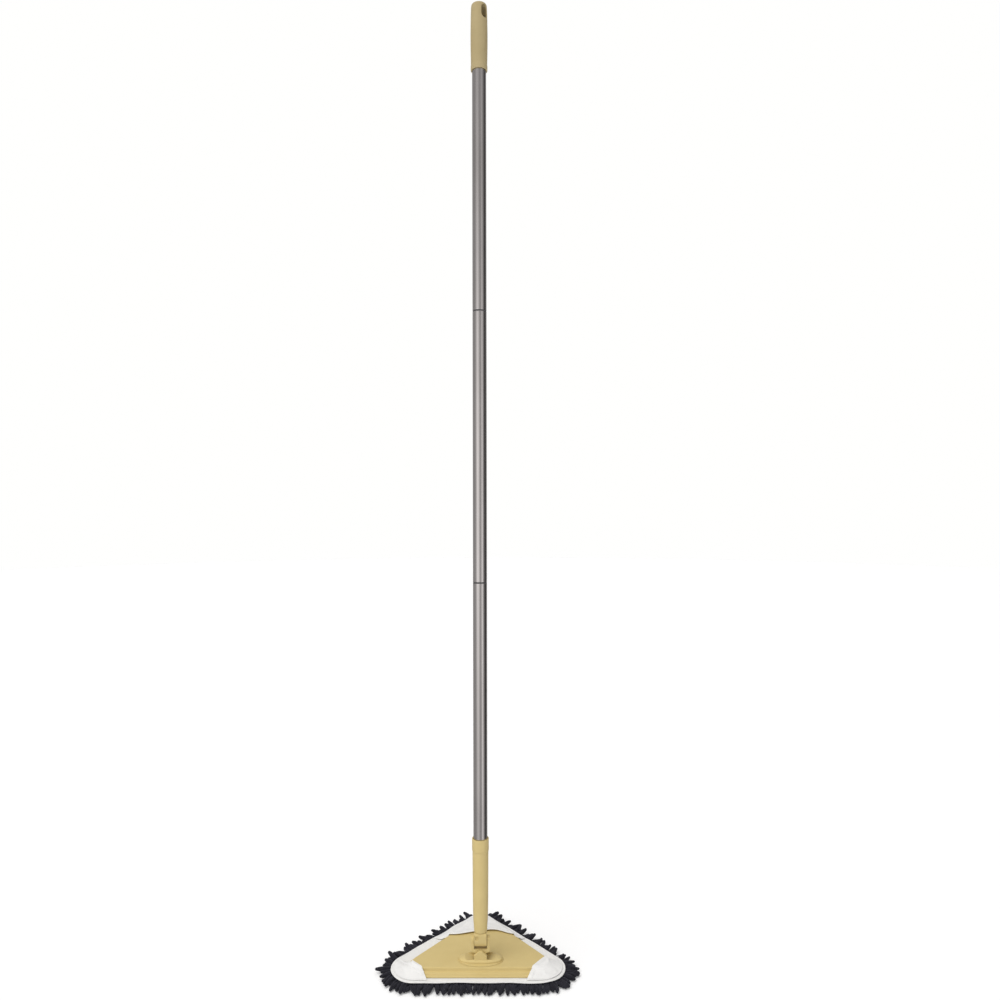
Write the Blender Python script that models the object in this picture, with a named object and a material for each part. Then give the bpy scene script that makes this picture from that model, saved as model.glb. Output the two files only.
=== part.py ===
"""Triangular flat mop: a three-piece steel pole, a two-way swivel and a head with a chenille pad.

The pole stands on +Z, the apex of the head points along +Y, and the floor is z = 0.
Run with: blender --background --python part.py
"""

from math import cos, pi, radians, sin, tan

import bmesh
import bpy
from mathutils import Matrix, Vector

# Driving dimensions, in metres and degrees. Depths (y) are measured from the pole's axis.
GAP = 0.0003
SEGMENTS = 40

TOTAL_HEIGHT = 1.5225
TUBE_R = 0.011
TUBE_WALL = 0.0006
TUBE_LENGTH = 0.426
INSERT_R = TUBE_R - TUBE_WALL - GAP
COLLAR = 0.0012
STUD_R = 0.0072
STUD_LENGTH = 0.020

GRIP_LENGTH = 0.1047
SLOT_WIDTH = 0.011
SLOT_LOW = 0.025
SLOT_HIGH = 0.0035
SLOT_TURN = 45.0

NECK_LOW = 0.0667
NECK_HIGH = 0.213
NECK_OVERLAP = 0.0245

PITCH_Z = 0.0535
ROLL_Z = 0.0345
ROLL_LIMIT = 70.0
KNUCKLE_R = 0.0098
ARM_IN = KNUCKLE_R + GAP
ARM_OUT = 0.0145
ARM_R = 0.0065
BARREL_R = 0.0063
LUG_IN = 0.0072
LUG_FRONT = -0.0120
LUG_REAR = 0.0136
LUG_WIDE = 0.0100
PIN_R = 0.0021

FLOOR_TO_BACKING = 0.0100
BACKING_TOP = 0.0122
PLATE_LOW = BACKING_TOP + GAP
PLATE_TOP = 0.0220
PLATE_WALL = 0.0022
PLATE_ANGLE = 52.0
PLATE_FRONT = -0.0334
PLATE_SIDE = 0.0937
PLATE_CORNER_R = 0.0260
SOLE_THICKNESS = 0.0024

PAD_ANGLE = 48.5
PAD_FRONT = -0.0436
PAD_SIDE = 0.1110
PAD_CORNER_R = 0.0410
PAD_APEX_R = 0.0240
FRINGE = 0.0170

BOSS_WIDE = 0.036
BOSS_DEEP = 0.021
BOSS_TOP = 0.0280

KHAKI = (0.62, 0.50, 0.27, 1.0)
GRIP_KHAKI = (0.45, 0.36, 0.20, 1.0)
STEEL = (0.50, 0.49, 0.47, 1.0)
GREY = (0.16, 0.16, 0.17, 1.0)
WHITE = (0.88, 0.88, 0.87, 1.0)
CHARCOAL = (0.025, 0.025, 0.035, 1.0)


def pad_rear():
    """Depth of the fringe's rear tip: where the side lines meet, less what the apex arc cuts off."""
    centre = (PAD_SIDE - PAD_APEX_R) / cos(radians(PAD_ANGLE))
    return centre + PAD_APEX_R + FRINGE


# The row's origin is under the middle of the pad, so the pole stands ahead of it.
POLE_Y = -(pad_rear() + PAD_FRONT - FRINGE) / 2
JOINT_LOW = NECK_HIGH - NECK_OVERLAP + TUBE_LENGTH
JOINT_HIGH = JOINT_LOW + TUBE_LENGTH
TUBE_TOP = JOINT_HIGH + TUBE_LENGTH
GRIP_LOW = TOTAL_HEIGHT - GRIP_LENGTH


# Materials, empties and objects

def material(name, colour, roughness, metallic=0.0):
    made = bpy.data.materials.get(name) or bpy.data.materials.new(name)
    made.use_nodes = True
    made.diffuse_color = colour
    shader = made.node_tree.nodes["Principled BSDF"]
    shader.inputs["Base Color"].default_value = colour
    shader.inputs["Roughness"].default_value = roughness
    shader.inputs["Metallic"].default_value = metallic
    return made


def khaki_plastic():
    return material("khaki_plastic", KHAKI, 0.45)


def grip_plastic():
    return material("grip_plastic", GRIP_KHAKI, 0.55)


def tube_steel():
    return material("tube_steel", STEEL, 0.32, 1.0)


def pin_steel():
    return material("pin_steel", STEEL, 0.30, 1.0)


def insert_plastic():
    return material("insert_plastic", GREY, 0.55)


def backing_fabric():
    return material("backing_fabric", WHITE, 0.90)


def chenille_fabric():
    return material("chenille_fabric", CHARCOAL, 0.95)


def empty(name, z, parent=None):
    made = bpy.data.objects.new(name, None)
    bpy.context.collection.objects.link(made)
    made.parent = parent
    made.location = Vector((0, POLE_Y, z)) - (parent.location if parent else Vector())
    made.empty_display_size = 0.03
    return made


def world_place(carrier):
    place = Vector()
    while carrier:
        place += carrier.location
        carrier = carrier.parent
    return place


def add_object(name, bm, finish, carrier=None):
    """Link a mesh that was modelled about the pole's axis at floor level, and hang it on a carrier."""
    bmesh.ops.remove_doubles(bm, verts=bm.verts, dist=1e-7)
    bmesh.ops.recalc_face_normals(bm, faces=bm.faces)
    bm.transform(Matrix.Translation(Vector((0, POLE_Y, 0)) - world_place(carrier)))
    mesh = bpy.data.meshes.new(name)
    bm.to_mesh(mesh)
    bm.free()
    mesh.shade_smooth()
    mesh.set_sharp_from_angle(angle=radians(30))
    if finish:
        mesh.materials.append(finish)
    made = bpy.data.objects.new(name, mesh)
    bpy.context.collection.objects.link(made)
    made.parent = carrier
    return made


def combine(target, other, operation, carrier=None):
    """Boolean with a guide that the finished part leaves out."""
    cutter = add_object(target.name + "_guide", other, None, carrier)
    cutter.hide_render = True
    cutter.display_type = "WIRE"
    step = target.modifiers.new(operation.lower(), "BOOLEAN")
    step.operation = operation
    step.solver = "EXACT"
    step.object = cutter


def cut(target, other):
    combine(target, other, "DIFFERENCE")


def join(target, other):
    combine(target, other, "UNION")


# Shapes, all about the pole's axis

def loft(rings):
    """Closed solid through rings of equally many points, each (x, y, z)."""
    bm = bmesh.new()
    layers = [[bm.verts.new(p) for p in ring] for ring in rings]
    count = len(layers[0])
    for low, high in zip(layers, layers[1:]):
        for i in range(count):
            j = (i + 1) % count
            bm.faces.new((low[i], low[j], high[j], high[i]))
    bm.faces.new(reversed(layers[0]))
    bm.faces.new(layers[-1])
    return bm


def flat_ring(points, z):
    return [(x, y, z) for x, y in points]


def slab(points, low, high):
    return loft([flat_ring(points, low), flat_ring(points, high)])


def turned(profile, segments=SEGMENTS):
    """Spin a closed profile of (radius, z) about the pole's axis."""
    bm = bmesh.new()
    verts = [bm.verts.new((r, 0, z)) for r, z in profile]
    edges = [bm.edges.new((a, b)) for a, b in zip(verts, verts[1:] + verts[:1])]
    bmesh.ops.spin(
        bm, geom=verts + edges, cent=(0, 0, 0), axis=(0, 0, 1), angle=2 * pi, steps=segments, use_merge=True
    )
    bmesh.ops.remove_doubles(bm, verts=bm.verts, dist=1e-6)
    bmesh.ops.dissolve_degenerate(bm, edges=bm.edges, dist=1e-7)
    return bm


def rod(radius, low, high, segments=SEGMENTS, x=0.0, y=0.0):
    points = [(x + radius * cos(a), y + radius * sin(a)) for a in ring_angles(segments)]
    return slab(points, low, high)


def ring_angles(segments):
    return [2 * pi * i / segments for i in range(segments)]


def arc(centre, radius, start, end, steps):
    """Points on a circle from one angle to another, in degrees."""
    angles = [radians(start + (end - start) * i / steps) for i in range(steps + 1)]
    return [(centre[0] + radius * cos(a), centre[1] + radius * sin(a)) for a in angles]


def rounded_triangle(angle, front, side, corner_r, apex_r, steps=8):
    """Isosceles outline: front line at y = front, sides at a distance from the pole, round corners."""
    a = radians(angle)
    corner_x = (side - front * cos(a)) / sin(a) - corner_r / tan(a / 2)
    corner_y = front + corner_r
    apex_y = (side - apex_r) / cos(a)
    right = arc((corner_x, corner_y), corner_r, -90, 90 - angle, steps)
    rear = arc((0, apex_y), apex_r, 90 - angle, 90 + angle, steps)
    left = arc((-corner_x, corner_y), corner_r, 90 + angle, 270, steps)
    return right + rear + left


def plate_outline(front_inset, side_inset):
    return rounded_triangle(
        PLATE_ANGLE,
        PLATE_FRONT + front_inset,
        PLATE_SIDE - side_inset,
        PLATE_CORNER_R - side_inset,
        PLATE_CORNER_R - side_inset,
    )


def pad_outline(grow):
    return rounded_triangle(
        PAD_ANGLE, PAD_FRONT - grow, PAD_SIDE + grow, PAD_CORNER_R + grow, PAD_APEX_R + grow, 10
    )


def oval(wide, deep, power, points=48):
    """Superellipse |x/wide|^power + |y/deep|^power = 1, by angle."""
    outline = []
    for a in ring_angles(points):
        c, s = cos(a), sin(a)
        x = wide * abs(c) ** (2 / power) * (1 if c > 0 else -1)
        y = deep * abs(s) ** (2 / power) * (1 if s > 0 else -1)
        outline.append((x, y))
    return outline


def across(bm):
    """Turn a solid built up +Z to lie along +X, for pieces drawn in side view (y, z)."""
    bm.transform(Matrix(((0, 0, 1, 0), (1, 0, 0, 0), (0, 1, 0, 0), (0, 0, 0, 1))))
    return bm


def along(bm):
    """Turn a solid built up +Z to lie along +Y, for pieces drawn in front view (x, z)."""
    bm.transform(Matrix(((1, 0, 0, 0), (0, 0, 1, 0), (0, 1, 0, 0), (0, 0, 0, 1))))
    bmesh.ops.reverse_faces(bm, faces=bm.faces)
    return bm


# Pole

def build_tubes(pole):
    inner = TUBE_R - TUBE_WALL
    spans = {
        "lower_tube": (NECK_HIGH - NECK_OVERLAP, JOINT_LOW - COLLAR / 2 - GAP),
        "middle_tube": (JOINT_LOW + COLLAR / 2 + GAP, JOINT_HIGH - COLLAR / 2 - GAP),
        "upper_tube": (JOINT_HIGH + COLLAR / 2 + GAP, TUBE_TOP),
    }
    for name, (low, high) in spans.items():
        wall = turned([(TUBE_R, high), (TUBE_R, low), (inner, low), (inner, high)], 48)
        add_object(name, wall, tube_steel(), pole)


def build_joint(pole, z, stud_name, socket_name):
    """A stud fixed in the tube above screws into a socket fixed in the tube below."""
    top = z + COLLAR / 2
    stud = [
        (0, z + 0.030), (INSERT_R - 0.001, z + 0.030), (INSERT_R, z + 0.029), (INSERT_R, top),
        (TUBE_R - 0.0002, top), (TUBE_R - 0.0002, top - COLLAR), (STUD_R, top - COLLAR),
        (STUD_R, z - STUD_LENGTH + 0.001), (STUD_R - 0.001, z - STUD_LENGTH), (0, z - STUD_LENGTH),
    ]
    add_object(stud_name, turned(stud, 32), insert_plastic(), pole)
    mouth = top - COLLAR - GAP
    bore = STUD_R + GAP
    socket = [
        (bore, mouth), (INSERT_R, mouth), (INSERT_R, z - 0.031), (0, z - 0.031),
        (0, z - STUD_LENGTH - 0.002), (bore, z - STUD_LENGTH - 0.002),
    ]
    add_object(socket_name, turned(socket, 32), insert_plastic(), pole)


def build_grip(pole):
    top = TOTAL_HEIGHT
    low = GRIP_LOW
    bore = TUBE_R + GAP
    plug_top = TUBE_TOP + 0.0022
    outer = [
        (0, top), (0.0098, top - 0.0001), (0.0113, top - 0.0007), (0.0121, top - 0.0020),
        (0.0125, top - 0.0048), (0.0130, top - 0.020), (0.0134, top - 0.048), (0.0133, top - 0.070),
        (0.0128, low + 0.0096), (0.0131, low + 0.0082), (0.0132, low + 0.0012), (0.0127, low),
    ]
    inner = [
        (bore, low), (bore, plug_top), (0.0104, plug_top + 0.0016), (0.0104, top - 0.014),
        (0.0098, top - 0.0072), (0.0080, top - 0.0044), (0.0045, top - 0.0033), (0, top - 0.0030),
    ]
    grip = add_object("hand_grip", turned(outer + inner), grip_plastic(), pole)

    half = SLOT_WIDTH / 2
    foot = top - SLOT_LOW
    head = top - SLOT_HIGH
    outline = arc((0, foot + half), half, 180, 360, 8) + arc((0, head - half), half, 0, 180, 8)
    slot = along(slab(outline, -0.02, 0.02))
    slot.transform(Matrix.Rotation(radians(SLOT_TURN), 4, "Z"))
    cut(grip, slot)

    plug = [
        (0, TUBE_TOP + 0.0018), (TUBE_R - 0.0006, TUBE_TOP + 0.0018), (TUBE_R - 0.0002, TUBE_TOP + 0.0014),
        (TUBE_R - 0.0002, TUBE_TOP + GAP), (INSERT_R, TUBE_TOP + GAP), (INSERT_R - 0.0003, TUBE_TOP - 0.018),
        (INSERT_R - 0.0018, TUBE_TOP - 0.018), (INSERT_R - 0.0018, TUBE_TOP - 0.002), (0, TUBE_TOP - 0.002),
    ]
    add_object("grip_plug", turned(plug, 32), insert_plastic(), pole)


def build_neck(pole):
    shoulder = NECK_HIGH - NECK_OVERLAP - GAP
    bore = TUBE_R + GAP
    neck = [
        (bore, NECK_HIGH), (0.0128, NECK_HIGH), (0.01315, NECK_HIGH - 0.0006), (0.01315, NECK_HIGH - 0.0180),
        (0.0130, NECK_HIGH - 0.0190), (0.01255, NECK_HIGH - 0.0200), (0.0124, 0.168), (0.0121, 0.118),
        (0.0118, 0.098), (0.0113, 0.084), (0.0107, 0.0760), (0.0103, NECK_LOW + 0.0016),
        (0.0099, NECK_LOW), (0.0078, NECK_LOW), (0.0078, 0.0960), (0.0092, 0.0980), (0.0092, shoulder),
        (bore, shoulder),
    ]
    add_object("neck_sleeve", turned(neck), khaki_plastic(), pole)


def build_knuckle(pole):
    """Tongue that turns on the pitch pin, with a spigot that is glued into the neck."""
    top = NECK_LOW - GAP
    face = KNUCKLE_R
    side = arc((0, PITCH_Z), face, 180, 360, 20) + [
        (face, top - 0.0020), (face - 0.0008, top - 0.0008), (face - 0.0014, top),
        (-face + 0.0014, top), (-face + 0.0008, top - 0.0008), (-face, top - 0.0020),
    ]
    edge = 0.0007
    thin = [(y * (1 - edge / face), z + (edge if z < PITCH_Z else 0)) for y, z in side]
    rings = [flat_ring(thin, -face), flat_ring(side, -face + edge), flat_ring(side, face - edge),
             flat_ring(thin, face)]
    knuckle = add_object("swivel_knuckle", across(loft(rings)), khaki_plastic(), pole)
    join(knuckle, rod(0.0074, top - 0.004, 0.0935, 32))
    cut(knuckle, across(rod(PIN_R + GAP, -0.02, 0.02, 24, x=0, y=PITCH_Z)))
    recess = [(-0.0078, 0.0565), (-0.0033, 0.0565), (-0.0033, 0.0625), (-0.0078, 0.0625)]
    cut(knuckle, along(slab(recess, -face - 0.002, -face + 0.0016)))


# Swivel block

def build_yoke(cross):
    """U shape: two arms on the pitch pin, over a barrel on the roll pin."""
    half = ARM_R
    arm = arc((0, PITCH_Z), half, 0, 180, 16) + [(-half, ROLL_Z), (half, ROLL_Z)]
    yoke = add_object("swivel_yoke", across(slab(arm, -ARM_OUT, ARM_OUT)), khaki_plastic(), cross)
    well = [(-ARM_IN, ROLL_Z + BARREL_R), (ARM_IN, ROLL_Z + BARREL_R), (ARM_IN, 0.08), (-ARM_IN, 0.08)]
    cut(yoke, along(slab(well, -0.02, 0.02)))
    # The underside is round about the roll pin, and its flanks slope up to the arms.
    keel = arc((0, ROLL_Z), BARREL_R, 190, 350, 12) + [(BARREL_R, ROLL_Z + 0.002), (-BARREL_R, ROLL_Z + 0.002)]
    join(yoke, along(slab(keel, -half, half)))
    for side in (-1, 1):
        corner = [(side * (ARM_OUT + 0.001), ROLL_Z - 0.001), (side * (BARREL_R - 0.0005), ROLL_Z - 0.001),
                  (side * (ARM_OUT + 0.001), ROLL_Z + 0.0035)]
        cut(yoke, along(slab(corner, -0.02, 0.02)))
    cut(yoke, across(rod(PIN_R + GAP, -0.02, 0.02, 24, x=0, y=PITCH_Z)))
    cut(yoke, across(rod(0.0043, ARM_OUT - 0.0016, ARM_OUT + 0.004, 24, x=0, y=PITCH_Z)))
    cut(yoke, across(rod(0.0043, -ARM_OUT - 0.004, -ARM_OUT + 0.0016, 24, x=0, y=PITCH_Z)))
    cut(yoke, along(rod(PIN_R + GAP, -0.02, 0.02, 24, x=0, y=ROLL_Z)))


def build_pins(cross, head):
    seat = ARM_OUT - 0.0016 + GAP
    clip = 0.0010
    pitch = across(rod(PIN_R, -seat - 0.0001, seat + clip, 24, x=0, y=PITCH_Z))
    pin = add_object("pitch_pin", pitch, pin_steel(), cross)
    join(pin, across(rod(0.0040, -seat - clip, -seat, 24, x=0, y=PITCH_Z)))
    ring = across(rod(0.0040, seat, seat + clip, 24, x=0, y=PITCH_Z))
    pitch_clip = add_object("pitch_pin_clip", ring, pin_steel(), cross)
    cut(pitch_clip, across(rod(PIN_R + GAP, 0, 0.02, 24, x=0, y=PITCH_Z)))

    rear = LUG_REAR + GAP
    roll = along(rod(PIN_R, LUG_FRONT + 0.0018, rear + 0.0012, 24, x=0, y=ROLL_Z))
    add_object("roll_pin", roll, pin_steel(), head)
    ring = along(rod(0.0040, rear, rear + 0.0010, 24, x=0, y=ROLL_Z))
    roll_clip = add_object("roll_pin_clip", ring, pin_steel(), head)
    cut(roll_clip, along(rod(PIN_R + GAP, 0, 0.03, 24, x=0, y=ROLL_Z)))


# Head

def swivel_window(inner, half_depth):
    """Room for the yoke and the knuckle beside the roll pin; its sloping floor stops the roll at its limit."""
    fall = tan(radians(90 - ROLL_LIMIT))
    floor_z = ROLL_Z - ARM_OUT / sin(radians(ROLL_LIMIT)) - GAP
    outer = BOSS_WIDE - 0.002
    outline = [(inner, floor_z + inner * fall), (outer, floor_z + outer * fall), (outer, 0.08), (inner, 0.08)]
    if inner < LUG_WIDE:
        outline = [(-x, z) for x, z in reversed(outline)] + outline
    return along(slab(outline, -half_depth, half_depth))


def mirrored(bm):
    bm.transform(Matrix.Scale(-1, 4, (1, 0, 0)))
    bmesh.ops.reverse_faces(bm, faces=bm.faces)
    return bm


def base_screw_places():
    return [(x, y) for y in (-0.0097, 0.0097) for x in (-0.0065, 0.0065)]


def build_base(head):
    """Crescent-edged boss with the two lugs that hold the roll pin."""
    low = PLATE_TOP + GAP
    rings = [
        (BOSS_WIDE, BOSS_DEEP, 2.0, low), (BOSS_WIDE, BOSS_DEEP, 2.0, low + 0.0004),
        (BOSS_WIDE - 0.0004, BOSS_DEEP - 0.0005, 2.0, low + 0.0007), (0.0350, 0.0154, 2.6, low + 0.0011),
        (0.0349, 0.0153, 2.6, low + 0.0002), (0.0340, 0.0143, 2.7, low + 0.0002),
        (0.0339, 0.0142, 2.7, 0.0246), (0.0333, 0.0137, 2.7, 0.0254),
        (0.0300, 0.0125, 2.6, 0.0267), (0.0255, 0.0113, 2.4, BOSS_TOP - 0.0004), (0.0240, 0.0105, 2.4, BOSS_TOP),
    ]
    body = loft([flat_ring(oval(wide, deep, power), z) for wide, deep, power, z in rings])
    base = add_object("swivel_base", body, khaki_plastic(), head)
    cut(base, swivel_window(0.003, LUG_IN))
    cut(base, swivel_window(LUG_WIDE + GAP, KNUCKLE_R + 0.0006))
    cut(base, mirrored(swivel_window(LUG_WIDE + GAP, KNUCKLE_R + 0.0006)))
    crown = arc((0, ROLL_Z), 0.0062, 25, 155, 14)
    lug = [(-LUG_WIDE, 0.0240), (LUG_WIDE, 0.0240), (LUG_WIDE, 0.0335)] + crown + [(-LUG_WIDE, 0.0335)]
    for start, end in ((LUG_FRONT, -LUG_IN), (LUG_IN, LUG_REAR)):
        join(base, along(slab(lug, start, end)))
    cut(base, along(rod(PIN_R + GAP, LUG_FRONT + 0.0015, 0.03, 24, x=0, y=ROLL_Z)))
    for x, y in base_screw_places():
        cut(base, rod(0.0017, low - 0.001, 0.0290, 16, x, y))


def build_plate(head):
    """Hollow moulding: a stepped skirt around a flat top, ribs, and posts for the sole's screws."""
    steps = [
        (0.0000, 0.0000, PLATE_LOW), (0.0000, 0.0000, 0.0139), (0.0006, 0.0004, 0.0143),
        (0.0044, 0.0022, 0.0147), (0.0047, 0.0025, 0.0160), (0.0052, 0.0030, 0.0164),
        (0.0112, 0.0078, 0.0169), (0.0116, 0.0082, 0.0210), (0.0119, 0.0086, 0.0217),
        (0.0126, 0.0093, PLATE_TOP),
    ]
    body = loft([flat_ring(plate_outline(f, s), z) for f, s, z in steps])
    plate = add_object("mop_plate", body, khaki_plastic(), head)
    ceiling = PLATE_TOP - PLATE_WALL
    cut(plate, slab(plate_outline(0.0140, 0.0104), PLATE_LOW - 0.001, ceiling))
    rib_low = PLATE_LOW + SOLE_THICKNESS + GAP
    for x in (-0.045, 0.045):
        rib = [(x - 0.0008, -0.020), (x + 0.0008, -0.020), (x + 0.0008, 0.062), (x - 0.0008, 0.062)]
        join(plate, slab(rib, rib_low, ceiling + 0.0005))
    cross_rib = [(-0.075, 0.0234), (0.075, 0.0234), (0.075, 0.0250), (-0.075, 0.0250)]
    join(plate, slab(cross_rib, rib_low, ceiling + 0.0005))
    for x, y in sole_screw_places():
        join(plate, rod(0.0034, rib_low, ceiling + 0.0005, 16, x, y))
        cut(plate, rod(0.0016, rib_low - 0.001, ceiling - 0.0006, 16, x, y))
    for x, y in base_screw_places():
        cut(plate, rod(0.0017, ceiling - 0.001, PLATE_TOP + 0.001, 16, x, y))
    cut(plate, swivel_window(0.003, LUG_IN))


def sole_screw_places():
    return [(-0.075, -0.006), (0.0, -0.0155), (0.075, -0.006), (-0.036, 0.060), (0.036, 0.060), (0.0, 0.098)]


def build_sole(head):
    low = PLATE_LOW
    high = low + SOLE_THICKNESS
    body = slab(plate_outline(0.0140 + GAP, 0.0104 + GAP), low, high)
    sole = add_object("sole_plate", body, khaki_plastic(), head)
    for x, y in sole_screw_places():
        cut(sole, rod(0.0030, low - 0.001, low + 0.0018, 16, x, y))
        cut(sole, rod(0.0016, low + 0.0010, high + 0.001, 16, x, y))


def screw(name, x, y, seat, head_r, head_height, shank_r, tip, head):
    body = [
        (0, tip), (shank_r - 0.0006, tip), (shank_r, tip - 0.0008), (shank_r, seat), (head_r, seat),
        (head_r, seat - head_height + 0.0004), (head_r - 0.0006, seat - head_height), (0, seat - head_height),
    ]
    bm = turned(body, 16)
    bm.transform(Matrix.Translation((x, y, 0)))
    add_object(name, bm, pin_steel(), head)


def build_screws(head):
    for i, (x, y) in enumerate(base_screw_places(), 1):
        seat = PLATE_TOP - PLATE_WALL - GAP
        screw(f"base_screw_{i}", x, y, seat, 0.0029, 0.0020, 0.0014, 0.0286, head)
    for i, (x, y) in enumerate(sole_screw_places(), 1):
        screw(f"sole_screw_{i}", x, y, PLATE_LOW + 0.0015, 0.0026, 0.0013, 0.0013, 0.0188, head)


# Pad

def build_pad(head):
    high = FLOOR_TO_BACKING - GAP
    rings = [
        flat_ring(pad_outline(FRINGE - 0.004), 0), flat_ring(pad_outline(FRINGE - 0.0008), 0.0016),
        flat_ring(pad_outline(FRINGE), 0.0044), flat_ring(pad_outline(FRINGE - 0.0014), 0.0074),
        flat_ring(pad_outline(FRINGE - 0.006), high),
    ]
    add_object("chenille_pad", loft(rings), chenille_fabric(), head)
    rings = [
        flat_ring(pad_outline(-0.0010), FLOOR_TO_BACKING), flat_ring(pad_outline(0), 0.0106),
        flat_ring(pad_outline(0), 0.0116), flat_ring(pad_outline(-0.0010), BACKING_TOP),
    ]
    add_object("pad_backing", loft(rings), backing_fabric(), head)


def beyond(start, end, far=0.4):
    """Large rectangle on the right-hand side of a line, as a slab for a Boolean."""
    start, end = Vector(start), Vector(end)
    way = (end - start).normalized() * far
    out = Vector((way.y, -way.x))
    corners = [start - way, start - way + out, start + way + out, start + way]
    return slab([tuple(corner) for corner in corners], 0, 0.05)


def pocket_region(name):
    """The side of the pocket's mouth on which its corner of the head lies."""
    mouth = {
        "right_pocket": ((0.0620, -0.0440), (0.1085, 0.0046)),
        "left_pocket": ((-0.1085, 0.0046), (-0.0620, -0.0440)),
        "rear_pocket": ((0.1, 0.0760), (-0.1, 0.0760)),
    }
    return beyond(*mouth[name])


def build_pockets(head):
    """Fabric pockets, sewn to the backing, that hold the plate's corners."""
    low = BACKING_TOP + GAP
    for name in ("left_pocket", "right_pocket", "rear_pocket"):
        rings = [
            flat_ring(pad_outline(-0.0035), low), flat_ring(pad_outline(-0.0045), low + 0.0012),
            flat_ring(pad_outline(-0.0110), 0.0190), flat_ring(pad_outline(-0.0190), 0.0236),
        ]
        pocket = add_object(name, loft(rings), backing_fabric(), head)
        inside = [
            (0.0000, 0.0000, 0.0050), (0.0000, 0.0000, 0.0147), (0.0040, 0.0019, 0.0151),
            (0.0044, 0.0022, 0.0168), (0.0106, 0.0073, 0.0173), (0.0110, 0.0077, 0.0224),
        ]
        gap = 0.0004
        filled = loft([flat_ring(plate_outline(f - gap, s - gap), z) for f, s, z in inside])
        cut(pocket, filled)
        combine(pocket, pocket_region(name), "INTERSECT")


def build_mop():
    for old in list(bpy.data.objects):
        bpy.data.objects.remove(old)
    head = empty("head", 0)
    head.location = (0, 0, 0)
    cross = empty("cross", ROLL_Z)
    pole = empty("pole", PITCH_Z)
    build_tubes(pole)
    build_joint(pole, JOINT_HIGH, "upper_stud", "middle_socket")
    build_joint(pole, JOINT_LOW, "lower_stud", "lower_socket")
    build_grip(pole)
    build_neck(pole)
    build_knuckle(pole)
    build_yoke(cross)
    build_pins(cross, head)
    build_base(head)
    build_plate(head)
    build_sole(head)
    build_screws(head)
    build_pad(head)
    build_pockets(head)


build_mop()
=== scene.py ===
# %% [markdown]
# # A triangular flat mop
# The real thing is a slim steel pole in three lengths with moulded khaki plastic at both ends. The pole
# stands on a two-way swivel in the middle of a three-cornered plate. Fabric pockets hold the plate on a
# pad whose underside and rim are soft chenille noodles.
#
# The engineering model comes first, as a frame that must not change. Every new surface is then worked
# out around it with arrays of numbers, and says which moving body it belongs to.

# %% Load the frame
from math import cos, pi, radians, sin, tan

import bmesh
import bpy
import numpy as np
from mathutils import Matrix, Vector


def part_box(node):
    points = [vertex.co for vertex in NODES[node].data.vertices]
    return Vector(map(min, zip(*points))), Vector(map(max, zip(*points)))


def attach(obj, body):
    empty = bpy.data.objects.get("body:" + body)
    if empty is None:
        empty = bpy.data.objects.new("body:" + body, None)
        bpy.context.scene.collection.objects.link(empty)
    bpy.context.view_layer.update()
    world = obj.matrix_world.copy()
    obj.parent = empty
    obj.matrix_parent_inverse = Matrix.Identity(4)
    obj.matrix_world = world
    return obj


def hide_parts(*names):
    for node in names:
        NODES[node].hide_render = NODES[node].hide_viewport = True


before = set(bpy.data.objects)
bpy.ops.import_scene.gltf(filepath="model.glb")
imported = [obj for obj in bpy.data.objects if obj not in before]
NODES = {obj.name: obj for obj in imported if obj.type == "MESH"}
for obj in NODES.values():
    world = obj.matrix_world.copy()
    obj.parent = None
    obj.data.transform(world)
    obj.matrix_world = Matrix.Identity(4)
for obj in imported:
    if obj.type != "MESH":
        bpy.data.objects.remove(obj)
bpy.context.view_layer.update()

# %% [markdown]
# ## Where things are
# The heights and widths are read from the boxes of the engineering parts, so that the looks cannot
# drift away from them. Depths are measured from the pole's axis, which stands in front of the origin.

# %% Read the main places
tube_low, tube_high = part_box("middle_tube")
POLE_Y = (tube_low.y + tube_high.y) / 2
TUBE_R = (tube_high.x - tube_low.x) / 2
PLATE_LOW, PLATE_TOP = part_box("mop_plate")[0].z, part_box("mop_plate")[1].z
BACKING_LOW, BACKING_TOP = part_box("pad_backing")[0].z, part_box("pad_backing")[1].z
TOTAL_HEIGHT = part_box("hand_grip")[1].z
print(f"pole axis y {POLE_Y:.4f}, tube radius {TUBE_R:.4f}, plate top {PLATE_TOP:.4f}")

# %% [markdown]
# ## Turning grids into meshes
# Almost every piece here is a grid: rows of points that were computed in one go. The faces only need to
# know which neighbours to join, so one function makes them for all pieces. Doubles are merged at the
# poles, where a whole row has shrunk to one point, and then the faces are turned outwards.

# %% Grid helpers
def grid_faces(rows, columns, wrap_rows=False):
    """Quads between neighbouring points of a grid. Columns always join round, rows only if asked."""
    i = np.arange(rows if wrap_rows else rows - 1)[:, None]
    j = np.arange(columns)[None, :]
    i, j = np.broadcast_arrays(i, j)
    up, over = (i + 1) % rows, (j + 1) % columns
    quads = np.stack([i * columns + j, i * columns + over, up * columns + over, up * columns + j], -1)
    return quads.reshape(-1, 4)


def finish_piece(mesh, name, body, look, crease=35):
    """Clean the mesh, shade it, and hang it on its body."""
    work = bmesh.new()
    work.from_mesh(mesh)
    bmesh.ops.remove_doubles(work, verts=work.verts, dist=2e-6)
    bmesh.ops.dissolve_degenerate(work, edges=work.edges, dist=1e-7)
    bmesh.ops.recalc_face_normals(work, faces=work.faces)
    work.to_mesh(mesh)
    work.free()
    mesh.shade_smooth()
    if crease:
        mesh.set_sharp_from_angle(angle=radians(crease))
    piece = bpy.data.objects.new(name, mesh)
    bpy.context.scene.collection.objects.link(piece)
    mesh.materials.clear()
    mesh.materials.append(look)
    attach(piece, body)
    print(f"{name}: {len(mesh.polygons)} faces")
    return piece


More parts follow.
